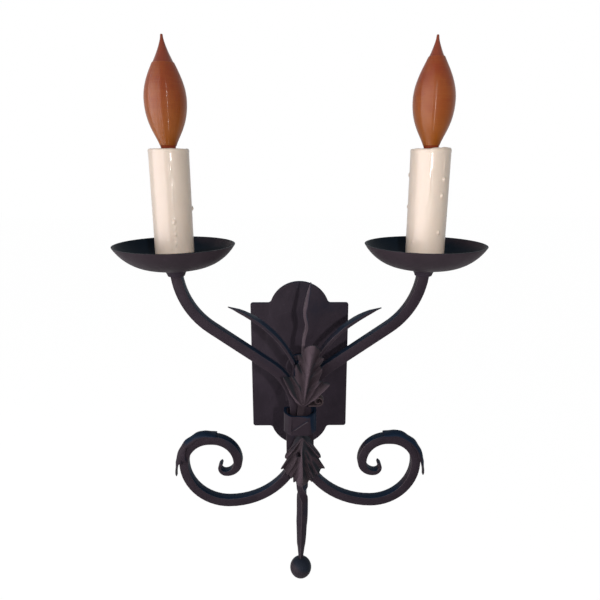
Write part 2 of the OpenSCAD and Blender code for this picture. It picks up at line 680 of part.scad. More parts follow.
module candle(side) {
    color(resin) at_side(side) translate([arm_reach, plane_y, 0])
        tube(sleeve_od, sleeve_bore, sleeve_foot, sleeve_len);
}

// Profile of the flame bulb, as [radius, height above the sleeve's rim]
belly = bulb_d / 2;
bulb_low = [[bulb_neck / 2 - 0.6, base_top - sleeve_top + 0.05], [bulb_neck / 2 - 1, 7], [belly, 13.5],
    [belly, bulb_belly]];
bulb_high = [[belly, bulb_belly], [belly, bulb_belly + 15], [7.6, bulb_h - 20.5], [4.2, bulb_h - 11.5]];
bulb_tip_curve = [bulb_high[3], [2.6, bulb_h - 7.2], [1.5, bulb_h - 4.5], [1.3, bulb_h - 0.9]];
bulb_side = concat([for (t = [0:0.1:0.95]) bezier(bulb_low, t)],
    [for (t = [0:0.08:0.96]) bezier(bulb_high, t)], [for (t = [0:0.25:1]) bezier(bulb_tip_curve, t)],
    [[0.8, bulb_h - 0.2], [0, bulb_h]]);
thread_end = 14;
function inset(points, d) = [for (p = points) [max(0, p[0] - d), p[1] - (p[0] < 3 ? d : 0)]];
function reverse(list) = [for (k = [len(list) - 1:-1:0]) list[k]];

module bulb_glass(side) {
    outer = inset(bulb_side, thread_t);
    color(amber) at_side(side) translate([arm_reach, plane_y, sleeve_top]) rotate_extrude($fn = 96)
        polygon(concat(outer, reverse(inset(outer, glass_t))));
}

// Silk thread wound round the glass, up to the bare tip
module bulb_thread(side) {
    wound = concat([for (t = [0.2:0.1:0.95]) bezier(bulb_low, t)],
        [for (t = [0:0.08:side < 0 ? 0.66 : 0.82]) bezier(bulb_high, t)]);
    color(amber) at_side(side) translate([arm_reach, plane_y, sleeve_top]) rotate_extrude($fn = 96)
        polygon(concat(wound, reverse(inset(wound, thread_t))));
}

module bulb_base(side) {
    color(bare_brass) at_side(side) translate([arm_reach, plane_y, 0])
        tube(base_d, base_d - 0.8, base_foot, base_len);
}

module bulb_contact(side) {
    color([0.12, 0.12, 0.14]) at_side(side) translate([arm_reach, plane_y, base_foot - contact_drop]) {
        translate([0, 0, contact_drop - 2.9]) cylinder(d1 = 5, d2 = 10.4, h = 2.6, $fn = 48);
        cylinder(d = 4, h = 1, $fn = 48);
    }
}

// Glass mount inside the bulb, from the base up to the filament
stem_foot_d = 7;
stem_top_d = 3.4;
stem_len = 22;
module bulb_stem(side) {
    color(amber) at_side(side) translate([arm_reach, plane_y, base_top - 2]) {
        cylinder(d = base_d - 1.2, h = 1.2, $fn = 48);
        cylinder(d1 = stem_foot_d, d2 = stem_top_d, h = stem_len, $fn = 48);
    }
}

module filament(side) {
    foot = base_top + stem_len - 1.6;
    color(zinc) at_side(side) translate([arm_reach, plane_y, foot]) {
        for (s = [-1, 1]) hull() {
            translate([s * 1.1, 0, 0]) sphere(d = 0.7, $fn = 8);
            translate([s * 6, 0, 16]) sphere(d = 0.7, $fn = 8);
        }
        hull() {
            translate([-6, 0, 16]) sphere(d = 0.7, $fn = 8);
            translate([0, 0, 18]) sphere(d = 0.7, $fn = 8);
        }
        hull() {
            translate([6, 0, 16]) sphere(d = 0.7, $fn = 8);
            translate([0, 0, 18]) sphere(d = 0.7, $fn = 8);
        }
    }
}

backplate();
check_ring();
standoff_bush();
standoff_tube();
arm_bridge();
arm(-1);  // left_arm
arm(1);  // right_arm
collar();
scroll(-1);  // left_scroll
scroll(1);  // right_scroll
drop_piece();  // drop_bar
ball_finial();
at_side(-1) blade(left_reed);  // left_blade
blade(right_reed);  // right_blade
blade(centre_reed);  // centre_blade
upper_leaf();
leaf_curl();
lower_leaf();
scroll_leaf(-1, left_drape);  // left_scroll_leaf
scroll_leaf(1, right_drape);  // right_scroll_leaf
boss(-1);  // left_boss
boss(1);  // right_boss
cup(-1);  // left_cup
cup(1);  // right_cup
cup_nipple(-1);  // left_cup_nipple
cup_nipple(1);  // right_cup_nipple
cup_nut(-1);  // left_cup_nut
cup_nut(1);  // right_cup_nut
socket_leg(-1);  // left_socket_leg
socket_leg(1);  // right_socket_leg
socket(-1);  // left_socket
socket(1);  // right_socket
screw_shell(-1);  // left_screw_shell
screw_shell(1);  // right_screw_shell
tongue(-1);  // left_tongue
tongue(1);  // right_tongue
candle(-1);  // left_candle
candle(1);  // right_candle
bulb_base(-1);  // left_bulb_base
bulb_base(1);  // right_bulb_base
bulb_contact(-1);  // left_bulb_contact
bulb_contact(1);  // right_bulb_contact
bulb_glass(-1);  // left_bulb_glass
bulb_glass(1);  // right_bulb_glass
bulb_thread(-1);  // left_bulb_thread
bulb_thread(1);  // right_bulb_thread
bulb_stem(-1);  // left_bulb_stem
bulb_stem(1);  // right_bulb_stem
filament(-1);  // left_filament
filament(1);  // right_filament
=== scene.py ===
import bpy
import math
from mathutils import Matrix, Vector


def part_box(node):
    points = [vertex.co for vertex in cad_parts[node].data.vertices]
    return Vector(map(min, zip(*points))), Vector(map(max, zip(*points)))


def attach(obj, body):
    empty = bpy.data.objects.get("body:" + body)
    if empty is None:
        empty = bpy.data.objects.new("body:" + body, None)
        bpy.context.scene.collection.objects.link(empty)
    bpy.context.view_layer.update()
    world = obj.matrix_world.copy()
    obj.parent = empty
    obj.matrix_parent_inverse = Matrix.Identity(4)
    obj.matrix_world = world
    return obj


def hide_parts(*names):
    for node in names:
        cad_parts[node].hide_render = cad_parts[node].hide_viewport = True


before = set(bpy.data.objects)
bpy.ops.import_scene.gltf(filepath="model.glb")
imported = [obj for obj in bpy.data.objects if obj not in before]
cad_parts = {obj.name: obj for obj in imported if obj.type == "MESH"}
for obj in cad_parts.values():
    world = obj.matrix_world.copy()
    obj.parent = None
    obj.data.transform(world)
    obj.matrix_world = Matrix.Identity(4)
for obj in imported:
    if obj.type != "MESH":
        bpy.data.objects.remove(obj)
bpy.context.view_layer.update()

# Camera: a little above the cups and very slightly left of the middle, tipped down so that the
# whole light hangs in the frame, as the photograph shows it.
camera_data = bpy.data.cameras.new("camera")
camera_data.sensor_width = 36.0
camera_data.lens = 30.8
camera_data.clip_start = 0.01
camera = bpy.data.objects.new("camera", camera_data)
bpy.context.scene.collection.objects.link(camera)
camera_tip = 14.72
camera_turn = -0.52
camera.location = (-0.0039, -0.4919, 0.1982)
camera.rotation_euler = (math.radians(90 - camera_tip), 0, math.radians(camera_turn))
bpy.context.scene.camera = camera
bpy.context.scene.view_settings.view_transform = "Standard"


class Wire:
    """One output socket of a material's nodes. Sums and products of wires add Math nodes."""

    def __init__(self, tree, socket=None):
        self.tree = tree
        self.socket = socket

    def node(self, kind, settings=None, plugs=None, out=0):
        made = self.tree.nodes.new(kind)
        for key, value in (settings or {}).items():
            setattr(made, key, value)
        for key, value in (plugs or {}).items():
            if isinstance(value, Wire):
                self.tree.links.new(value.socket, made.inputs[key])
            else:
                made.inputs[key].default_value = value
        return Wire(self.tree, made.outputs[out])

    def maths(self, operation, *values):
        return self.node("ShaderNodeMath", {"operation": operation}, dict(enumerate(values)))

    def __add__(self, other):
        return self.maths("ADD", self, other)

    def __sub__(self, other):
        return self.maths("SUBTRACT", self, other)

    def __rsub__(self, other):
        return self.maths("SUBTRACT", other, self)

    def __mul__(self, other):
        return self.maths("MULTIPLY", self, other)

    __radd__ = __add__
    __rmul__ = __mul__

    def between(self, low, high):
        return self.node("ShaderNodeMapRange", {"interpolation_type": "SMOOTHSTEP"},
            {"Value": self, "From Min": low, "From Max": high})

    def blend(self, first, second):
        return self.node("ShaderNodeMix", {"data_type": "RGBA"}, {0: self, 6: first, 7: second}, 2)

    def noise(self, scale, detail=3.0, rough=0.5):
        return self.node("ShaderNodeTexNoise", {}, {"Vector": self, "Scale": scale,
            "Detail": detail, "Roughness": rough})

    def axis(self, letter):
        return self.node("ShaderNodeSeparateXYZ", {}, {0: self}, letter)

    def bump(self, distance, strength=1.0, before=None):
        plugs = {"Height": self, "Distance": distance, "Strength": strength}
        if before is not None:
            plugs["Normal"] = before
        return self.node("ShaderNodeBump", {}, plugs)


def finish(name, **constants):
    """A new material whose shader takes these constants, and the wire that its nodes grow from."""
    material = bpy.data.materials.new(name)
    material.use_nodes = True
    shader = material.node_tree.nodes["Principled BSDF"]
    for key, value in constants.items():
        shader.inputs[key.replace("_", " ")].default_value = value
    return material, shader, Wire(material.node_tree)


def plug(shader, **wires):
    """Links wires to a shader's sockets, by the sockets' names."""
    for key, wire in wires.items():
        wire.tree.links.new(wire.socket, shader.inputs[key.replace("_", " ")])


# Studio: a plain pale floor well below the light, a white surround, a broad soft panel low on the
# left with a second one that shows only in reflections, and a small lamp just right of the camera
# that draws the blades' shadows on the plate.
world = bpy.data.worlds.new("surround")
bpy.context.scene.world = world
world.use_nodes = True
ambient = 0.1


def background_rays(pen):
    """1 for the camera's rays, reflections and views through glass, and 0 for rays of light."""
    camera_ray = pen.node("ShaderNodeLightPath", out="Is Camera Ray")
    kinds = camera_ray.socket.node.outputs
    seen = camera_ray + Wire(pen.tree, kinds["Is Glossy Ray"])
    seen = seen + Wire(pen.tree, kinds["Is Transmission Ray"])
    return seen.maths("MINIMUM", seen, 1.0)


level = background_rays(Wire(world.node_tree))
plug(world.node_tree.nodes["Background"], Strength=level * (1.0 - ambient) + ambient,
    Color=level.blend((0.86, 0.97, 1.0, 1), (1, 1, 1, 1)))


def lamp(name, place, aim, wide, tall, watts, colour, sheen_only=False):
    """A rectangular lamp. One that is sheen only shows in reflections and lights nothing else."""
    data = bpy.data.lights.new(name, "AREA")
    data.shape = "RECTANGLE"
    data.size = wide
    data.size_y = tall
    data.energy = watts
    data.color = colour
    made = bpy.data.objects.new(name, data)
    bpy.context.scene.collection.objects.link(made)
    made.location = place
    made.rotation_euler = (Vector(aim) - Vector(place)).to_track_quat("-Z", "Y").to_euler()
    made.visible_diffuse = not sheen_only


lamp("left_panel", (-1.02, -0.86, 0.0), (0, -0.06, 0.05), 2.0, 1.6, 20.0, (1.0, 0.96, 0.97))
lamp("left_gleam", (-1.04, -0.88, 0.0), (0, -0.06, 0.05), 2.0, 1.6, 52.0, (1.0, 0.88, 0.9), True)
lamp("front_lamp", (0.072, -0.50, 0.20), (0, -0.06, 0.02), 0.01, 0.01, 1.2, (1.0, 0.95, 0.92))

bpy.ops.object.select_all(action="DESELECT")
bpy.ops.mesh.primitive_grid_add(x_subdivisions=2, y_subdivisions=2, size=12.0, location=(0, 0, -0.42))
floor = bpy.context.object
floor.name = "floor"
bpy.ops.object.transform_apply(location=True, rotation=True, scale=True)
paper, paper_shader, pen = finish("pale_paper", Roughness=0.9)
fibres = pen.node("ShaderNodeTexCoord", out="Object").noise(60.0)
plug(paper_shader, Base_Color=fibres.blend((0.86, 0.86, 0.86, 1), (0.9, 0.9, 0.9, 1)))
paper_white = 1.06
shadow_kept = 0.07
glow = pen.node("ShaderNodeEmission", {}, {"Color": (1, 1, 1, 1), "Strength": paper_white})
both = pen.node("ShaderNodeMixShader", {}, {0: background_rays(pen) * (1 - shadow_kept),
    1: Wire(pen.tree, paper_shader.outputs[0]), 2: glow})
pen.tree.links.new(both.socket, pen.tree.nodes["Material Output"].inputs["Surface"])
floor.data.materials.append(paper)


def alone(piece):
    """Makes a piece the only selected one, and the active one."""
    bpy.ops.object.select_all(action="DESELECT")
    piece.select_set(True)
    bpy.context.view_layer.objects.active = piece


def applied(piece, kind, **settings):
    """Gives a piece a modifier with these settings, and applies it."""
    made = piece.modifiers.new(kind.lower(), kind)
    for key, value in settings.items():
        setattr(made, key, value)
    bpy.ops.object.modifier_apply(modifier=made.name)


def worked(node, name, edge=0.0, flat=0.6, smooth=34.0, rounds=0):
    """A closed copy of a CAD node, with its triangles joined, its edges eased and smooth curves.

    Its first material slot is for the faces and its second is for the eased edges.
    """
    piece = bpy.data.objects.new(name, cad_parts[node].data.copy())
    bpy.context.scene.collection.objects.link(piece)
    piece.data.materials.clear()
    piece.data.materials.append(None)
    piece.data.materials.append(None)
    alone(piece)
    bpy.ops.object.mode_set(mode="EDIT")
    bpy.ops.mesh.select_all(action="SELECT")
    bpy.ops.mesh.remove_doubles(threshold=0.000004)
    if flat:
        bpy.ops.mesh.dissolve_limited(angle_limit=math.radians(flat))
    else:
        bpy.ops.mesh.tris_convert_to_quads(face_threshold=math.radians(50),
            shape_threshold=math.radians(60))
    bpy.ops.object.mode_set(mode="OBJECT")
    if rounds:
        applied(piece, "SUBSURF", levels=rounds, render_levels=rounds)
    if edge:
        applied(piece, "BEVEL", width=edge, segments=2, limit_method="ANGLE",
            angle_limit=math.radians(40), material=1)
    bpy.ops.object.shade_smooth_by_angle(angle=math.radians(smooth))
    return piece


def fit(piece, node, material, body="bracket", painted_light=None):
    """Puts a piece in a node's place. The eased edges of a worked copy may have their own paint, here
    a lighter painted highlight.
    """
    if len(piece.data.materials) == 2:
        piece.data.materials[0] = material
        piece.data.materials[1] = painted_light or material
    else:
        piece.data.materials.append(material)
    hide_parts(node)
    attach(piece, body)


def dress(node, material):
    """Gives a CAD node that stays in view its material."""
    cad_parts[node].data.materials.clear()
    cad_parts[node].data.materials.append(material)


# Wall plate: sheet steel sawn to an arch at each end, with eased edges. It is painted a dark
# brown, with navy painted shade on what faces up and to the right.
def iron_paint(name, dent, brown=(0.029, 0.0215, 0.0295, 1), navy=(0.007, 0.016, 0.034, 1),
        lean=0.38, fluted=False):
    """Brown iron with navy painted shade on what faces up and right, lighter in flecks, and when
    fluted, painted shade in the hollows and a painted highlight on the ridges.
    """
    material, shader, pen = finish(name, Specular_IOR_Level=0.04)
    place = pen.node("ShaderNodeTexCoord", out="Object")
    facing = pen.node("ShaderNodeNewGeometry", out="Normal")
    cloud = place.noise(42.0, 3.0, 0.6)
    grain = place.noise(900.0, 2.0)
    strokes = place.noise(190.0, 4.0, 0.65)
    # Painted shade: what faces up and to the right is coloured navy, in place of the shade and blue
    # reflection it gets.
    upward = facing.axis("Z") * 0.9 + facing.axis("X") * lean + (cloud - 0.5) * 0.5
    painted_light = upward.between(0.1, 0.5)
    warm = cloud.between(0.3, 0.75).blend(brown, [c * 0.8 for c in brown[:3]] + [1])
    flecks_and_ridge_highlight = strokes.between(0.62, 0.74) * 0.35
    if fluted:
        relief = pen.node("ShaderNodeAttribute", {"attribute_name": "relief"}, out="Fac")
        # Painted shade in the flutes' hollows and a painted highlight on their ridges, read from the
        # relief.
        warm = relief.between(0.0, 0.75).blend([c * 0.55 for c in brown[:3]] + [1], warm)
        flecks_and_ridge_highlight = flecks_and_ridge_highlight.maths("MAXIMUM", flecks_and_ridge_highlight, relief.between(0.6, 1.0) * 0.8)
    flecked_and_highlit = flecks_and_ridge_highlight.blend(warm, [c * 1.9 for c in brown[:3]] + [1])
    plug(shader, Base_Color=painted_light.blend(flecked_and_highlit, navy), Roughness=cloud * 0.15 + grain * 0.1 + 0.4)
    blows = pen.node("ShaderNodeTexVoronoi", {"feature": "SMOOTH_F1"},
        {"Vector": place, "Scale": 105.0, "Smoothness": 1.0}, "Distance")
    hammer_marks = blows.bump(dent)
    plug(shader, Normal=(grain * 0.35 + strokes).bump(0.00012, 0.6, hammer_marks))
    return material


plate_paint = iron_paint("plate_paint", 0.00025, (0.031, 0.024, 0.0335, 1))
bar_paint = iron_paint("bar_paint", 0.0007)
# Painted highlight: a lighter paint for eased edges, where light catches them.
edge_highlight_paint = iron_paint("edge_highlight_paint", 0.0003, (0.07, 0.056, 0.064, 1), (0.012, 0.022, 0.036, 1))
plate = worked("backplate", "wall_plate", edge=0.0005)
fit(plate, "backplate", plate_paint)

# Ring and stand-off: a turned ring and a steel tube that hold the arms off the plate, over the
# wall box's nipple, which screws into the brass bush.
ring = worked("check_ring", "plate_ring", edge=0.0002)
fit(ring, "check_ring", plate_paint)
tube = worked("standoff_tube", "standoff", edge=0.0003)
fit(tube, "standoff_tube", bar_paint)
bridge = worked("arm_bridge", "bridge_plate", edge=0.0004)
fit(bridge, "arm_bridge", plate_paint)


def bright_metal(name, colour, rough):
    """Drawn metal with dull stains."""
    material, shader, pen = finish(name, Metallic=1.0)
    place = pen.node("ShaderNodeTexCoord", out="Object")
    drawn = place.noise(500.0, 2.0)
    stain = place.noise(120.0, 3.0).between(0.45, 0.7)
    dull = [c * 0.72 for c in colour[:3]] + [1]
    plug(shader, Base_Color=(stain * 0.6).blend(colour, dull), Roughness=drawn * 0.2 + rough)
    plug(shader, Normal=drawn.bump(0.00004, 0.5))
    return material


brass = bright_metal("bright_brass", (0.72, 0.52, 0.24, 1), 0.2)
dress("standoff_bush", brass)

# Arms: square tube, bent twice and cut level under the boss, with the lead inside.
for side in ("left", "right"):
    arm = worked(side + "_arm", side + "_arm_tube", edge=0.0007)
    fit(arm, side + "_arm", bar_paint, painted_light=edge_highlight_paint)

# Scrolls and drop: square bar, drawn out and rolled hot. The drop is twisted below the leaf and
# has a ball on its end.
for side in ("left", "right"):
    scroll = worked(side + "_scroll", side + "_scroll_bar", edge=0.0007)
    fit(scroll, side + "_scroll", bar_paint, painted_light=edge_highlight_paint)
drop = worked("drop_bar", "drop", edge=0.0005, flat=0)
twist_top = -0.094
twist_tall = 0.018
twist_turn = 40
rows = {}
for vertex in drop.data.vertices:
    rows.setdefault(round(vertex.co.z * 2000), []).append(vertex)
for row in rows.values():
    middle = sum((v.co for v in row), Vector()) / len(row)
    t = min(1.0, max(0.0, (twist_top - middle.z) / twist_tall))
    spin = Matrix.Rotation(math.radians(twist_turn) * t * t * (3 - 2 * t), 3, "Z")
    for vertex in row:
        vertex.co = middle + spin @ (vertex.co - middle)
fit(drop, "drop_bar", bar_paint, painted_light=edge_highlight_paint)
ball = worked("ball_finial", "drop_ball", smooth=60)
ball_paint = iron_paint("ball_paint", 0.0004, (0.034, 0.028, 0.036, 1), (0.018, 0.023, 0.035, 1))
fit(ball, "ball_finial", ball_paint)

# Collar: a strap lapped hot round the bundle, with its slanting seam in front, where the upper lap
# stands proud and takes a lighter paint as a painted highlight. Its corners are rounded by the bend.
collar = worked("collar", "collar_strap")
corner_tall = 0.008
same_place = 0.0005
corner_round = 0.0022
bpy.ops.object.mode_set(mode="EDIT")
bpy.ops.mesh.select_mode(type="EDGE")
bpy.ops.mesh.select_all(action="DESELECT")
bpy.ops.object.mode_set(mode="OBJECT")
for edge in collar.data.edges:
    ends = [collar.data.vertices[k].co for k in edge.vertices]
    upright = (ends[0] - ends[1]).xy.length < same_place
    edge.select = upright and abs(ends[0].z - ends[1].z) > corner_tall
bpy.ops.object.mode_set(mode="EDIT")
bpy.ops.mesh.bevel(offset=corner_round, offset_type="OFFSET", segments=4)
bpy.ops.mesh.select_mode(type="VERT")
bpy.ops.object.mode_set(mode="OBJECT")
applied(collar, "BEVEL", width=0.0005, segments=2, limit_method="ANGLE",
    angle_limit=math.radians(50))
bpy.ops.object.shade_smooth_by_angle(angle=math.radians(40))
fit(collar, "collar", bar_paint)
bpy.ops.object.select_all(action="DESELECT")
bpy.ops.mesh.primitive_grid_add(x_subdivisions=8, y_subdivisions=2, size=1)
lap = bpy.context.object
lap.name = "collar_lap"
lap_long, lap_wide, lap_thick = 0.015, 0.0009, 0.0008
lap_slope = -36
lap.scale = (lap_long, lap_wide, 1)
bpy.ops.object.transform_apply(location=True, rotation=True, scale=True)
lap.rotation_euler = (math.radians(90), math.radians(lap_slope), 0)
lap.location = (0.001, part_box("collar")[0][1] - lap_thick / 2, -0.0266)
bpy.ops.object.transform_apply(location=True, rotation=True, scale=True)
bpy.ops.object.mode_set(mode="EDIT")
bpy.ops.mesh.select_all(action="SELECT")
bpy.ops.mesh.extrude_region_move(TRANSFORM_OT_translate={"value": (0, lap_thick, 0)})
bpy.ops.mesh.select_all(action="SELECT")
bpy.ops.mesh.normals_make_consistent(inside=False)
bpy.ops.object.mode_set(mode="OBJECT")
applied(lap, "BEVEL", width=0.0003, segments=2, limit_method="ANGLE")
bpy.ops.object.shade_smooth_by_angle(angle=math.radians(50))
# The lap's lighter paint is a painted highlight.
lap.data.materials.append(edge_highlight_paint)
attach(lap, "bracket")

# Reed blades: strips on edge that taper to a point, two sweeping out and one waved. The waved one is
# painted lighter all over, a painted highlight for its lit face.
reed_highlight_paint = iron_paint("reed_highlight_paint", 0.0003, (0.085, 0.064, 0.078, 1), lean=0.6)
for name in ("left_blade", "right_blade", "centre_blade"):
    blade = worked(name, name + "_reed", edge=0.0003)
    if name == "centre_blade":
        fit(blade, name, reed_highlight_paint)
    else:
        fit(blade, name, bar_paint, painted_light=edge_highlight_paint)

# Leaves: sheet cut to lobes and hammered into flutes that fan out from the foot, one leaf up, one
# down and one laid over each scroll. A tongue of the upper leaf is rolled up beside its foot.
def hammered(piece, foot, upward, ribs, keel):
    """Eases a leaf's pleats, then raises a keel of (angle, height) and ribs of (angle, height).

    Angles are in degrees from the foot, and heights in millimetres. The paint reads the relief, for
    painted shade in the hollows and a painted highlight on the ridges.
    """
    alone(piece)
    applied(piece, "SMOOTH", use_x=False, use_z=False, iterations=9)
    relief = piece.data.attributes.new("relief", "FLOAT", "POINT")
    for vertex in piece.data.vertices:
        across = vertex.co.x - foot[0]
        along = (vertex.co.z - foot[1]) * upward
        angle = math.degrees(math.atan2(across, along))
        reach = math.hypot(across, along)
        near = min(1.0, max(0.0, (reach - 0.002) / 0.014))
        off = math.radians(angle - keel[0])
        for (low, rise_low), (high, rise_high) in zip(ribs, ribs[1:]):
            if low <= angle < high:
                t = (angle - low) / (high - low)
                rise = rise_low + (rise_high - rise_low) * t * t * (3 - 2 * t)
                from_keel = reach * abs(math.sin(off)) / keel_half
                arch = keel[1] * max(0.0, 1 - from_keel) * math.cos(off)
                vertex.co.y -= (rise * rib_gain + arch) * near / 1000
                relief.data[vertex.index].value = rise / full_rise
    applied(piece, "SUBSURF", levels=1, render_levels=1)
    bpy.ops.object.shade_smooth_by_angle(angle=math.radians(70))


# The leaves' paint has painted shade in the flutes' hollows and a painted highlight on their ridges.
leaf_paint = iron_paint("leaf_paint", 0.0003, (0.047, 0.034, 0.042, 1), (0.017, 0.019, 0.024, 1),
    lean=0.5, fluted=True)
curl_paint = iron_paint("curl_paint", 0.0003, (0.048, 0.034, 0.038, 1), (0.036, 0.027, 0.031, 1))
keel_half = 0.019
rib_gain = 1.5
full_rise = 1.8
upper_ribs = [(-75, 0.2), (-38, 1.8), (-22, 0.0), (-9, 1.3), (-3, 0.4), (7, 1.9), (13.5, 0.0),
    (27, 1.5), (34, 0.2), (47, 1.8), (75, 0.2)]
lower_ribs = [(-75, 0.2), (-48, 1.4), (-43, 0.3), (-37, 1.8), (-28, 0.0), (-17, 1.2), (-13, 0.5),
    (-3, 2.0), (5, 0.0), (12, 1.1), (16, 0.4), (20.5, 1.2), (29.5, 0.0), (39, 1.6), (42, 0.4),
    (51, 1.4), (75, 0.2)]
for name in ("upper_leaf", "lower_leaf", "left_scroll_leaf", "right_scroll_leaf"):
    leaf = worked(name, name + "_sheet", flat=0, rounds=1, smooth=60)
    if name == "upper_leaf":
        hammered(leaf, (0.0026, -0.009), 1, upper_ribs, (7, 2.8))
    if name == "lower_leaf":
        hammered(leaf, (0.0024, -0.038), -1, lower_ribs, (-3, 2.4))
    fit(leaf, name, leaf_paint if name in ("upper_leaf", "lower_leaf") else bar_paint)
curl = worked("leaf_curl", "leaf_foot_curl", edge=0.0004)
fit(curl, "leaf_curl", curl_paint)

# Cups: dishes spun from sheet on flared bosses, held by a nut on a nipple inside.
zinc = bright_metal("zinc_plate", (0.62, 0.62, 0.6, 1), 0.3)
# The cups' very dark navy is painted shade on their upturned insides.
cup_paint = iron_paint("cup_paint", 0.00025, (0.036, 0.027, 0.034, 1), (0.004, 0.0085, 0.015, 1))
for side in ("left", "right"):
    boss = worked(side + "_boss", side + "_boss_flare", edge=0.0003)
    fit(boss, side + "_boss", plate_paint)
    cup = worked(side + "_cup", side + "_drip_cup", edge=0.0003)
    fit(cup, side + "_cup", cup_paint)
    for part in ("_cup_nipple", "_cup_nut", "_socket_leg"):
        dress(side + part, zinc)


# Sockets: a dark moulded body with a brass screw shell and a sprung tongue.
def moulding(name, colour, rough):
    """Moulded resin with flow marks."""
    material, shader, pen = finish(name)
    place = pen.node("ShaderNodeTexCoord", out="Object")
    flow = place.noise(160.0, 3.0)
    light = [c * 1.5 for c in colour[:3]] + [1]
    plug(shader, Base_Color=flow.blend(colour, light), Roughness=flow * 0.2 + rough)
    plug(shader, Normal=place.noise(1200.0).bump(0.00003, 0.5))
    return material


phenolic = moulding("brown_moulding", (0.03, 0.022, 0.018, 1), 0.35)
insulator = moulding("black_glass", (0.012, 0.012, 0.016, 1), 0.1)
for side in ("left", "right"):
    dress(side + "_socket", phenolic)
    dress(side + "_screw_shell", brass)
    dress(side + "_tongue", brass)

# Candle sleeves: cream resin tubes cast with a soft lip, runs of wax and a few beads, which slide
# over the sockets and stand on the cups.
resin, resin_shader, pen = finish("cream_resin", Specular_IOR_Level=0.2, Coat_Weight=0.15,
    Coat_Roughness=0.12, Subsurface_Weight=0.1,
    Subsurface_Radius=(0.004, 0.0025, 0.0015))
place = pen.node("ShaderNodeTexCoord", out="Object")
mottle = place.noise(70.0, 3.0)
plug(resin_shader, Base_Color=mottle.blend((0.68, 0.575, 0.485, 1), (0.72, 0.62, 0.525, 1)),
    Roughness=mottle * 0.16 + 0.26, Normal=place.noise(130.0, 2.0).bump(0.0005, 0.5))


def turned(name, outline, turns=72):
    """A closed shape of revolution round the Z axis, from an outline of (radius, height) points."""
    bpy.ops.object.select_all(action="DESELECT")
    bpy.ops.mesh.primitive_plane_add(size=0.001, location=(0, 0, 0))
    piece = bpy.context.object
    piece.name = name
    bpy.ops.object.mode_set(mode="EDIT")
    bpy.ops.mesh.select_all(action="SELECT")
    bpy.ops.mesh.merge(type="CENTER")
    bpy.ops.transform.translate(value=(outline[0][0], 0, outline[0][1]))
    for (r0, z0), (r1, z1) in zip(outline, outline[1:]):
        bpy.ops.mesh.extrude_vertices_move(
            TRANSFORM_OT_translate={"value": (r1 - r0, 0, z1 - z0)})
    bpy.ops.mesh.select_all(action="SELECT")
    bpy.ops.mesh.spin(steps=turns, angle=math.tau, center=(0, 0, 0), axis=(0, 0, 1))
    bpy.ops.mesh.select_all(action="SELECT")
    bpy.ops.mesh.remove_doubles(threshold=0.00001)
    bpy.ops.mesh.normals_make_consistent(inside=False)
    bpy.ops.object.mode_set(mode="OBJECT")
    return piece


def place_at(piece, x, y, z):
    """Moves a piece's mesh, and leaves its object at the origin."""
    alone(piece)
    piece.location = (x, y, z)
    bpy.ops.object.transform_apply(location=True, rotation=True, scale=True)


def melt(parts, name, voxel, passes):
    """Joins parts into one skin and melts the creases between them."""
    alone(parts[0])
    for part in parts:
        part.select_set(True)
    bpy.ops.object.join()
    piece = bpy.context.object
    piece.name = name
    applied(piece, "REMESH", mode="VOXEL", voxel_size=voxel)
    applied(piece, "SMOOTH", iterations=passes)
    bpy.ops.object.shade_smooth()
    return piece


def blob(scale, angle, out, height):
    """A ball of wax scaled and turned to an angle from the sleeve's front, out from its axis."""
    turn = math.radians(angle)
    bpy.ops.object.select_all(action="DESELECT")
    bpy.ops.mesh.primitive_uv_sphere_add(segments=20, ring_count=12, radius=0.5)
    ball = bpy.context.object
    ball.scale = scale
    ball.rotation_euler = (0, 0, turn)
    ball.location = (out * math.sin(turn), -out * math.cos(turn), height)
    bpy.ops.object.transform_apply(location=True, rotation=True, scale=True)
    return ball


sleeve_r = 0.016
bore_r = 0.0116

# Wax on each sleeve: the angle from its front, the height above the cup, the width, the length and
# how far it stands out.
wax = {
    "left": [(14, 0.078, 0.0030, 0.028, 0.0003), (16, 0.056, 0.0024, 0.038, 0.0003),
        (17, 0.0385, 0.0026, 0.0050, 0.0007), (18, 0.033, 0.0020, 0.0060, 0.0004),
        (19, 0.0285, 0.0020, 0.0040, 0.0005), (18, 0.0205, 0.0018, 0.0060, 0.0004),
        (104, 0.0478, 0.0030, 0.0040, 0.0013), (150, 0.060, 0.0040, 0.044, 0.0007),
        (153, 0.038, 0.0044, 0.010, 0.0011), (-130, 0.070, 0.0038, 0.036, 0.0007),
        (-128, 0.052, 0.0042, 0.008, 0.0010), (-60, 0.080, 0.0030, 0.020, 0.0003)],
    "right": [(31, 0.082, 0.0030, 0.022, 0.0004), (32, 0.0715, 0.0026, 0.0036, 0.0012),
        (28, 0.0588, 0.0024, 0.0036, 0.0011), (24, 0.0295, 0.0024, 0.0034, 0.0010),
        (-54, 0.0217, 0.0026, 0.0024, 0.0005), (-103, 0.0747, 0.0030, 0.0040, 0.0009),
        (-103, 0.049, 0.0030, 0.0034, 0.0008), (-12, 0.066, 0.0030, 0.050, 0.0003),
        (120, 0.066, 0.0040, 0.044, 0.0007), (122, 0.044, 0.0046, 0.010, 0.0011),
        (-140, 0.064, 0.0040, 0.046, 0.0007), (-142, 0.041, 0.0044, 0.009, 0.0011),
        (178, 0.078, 0.0038, 0.026, 0.0006)]}
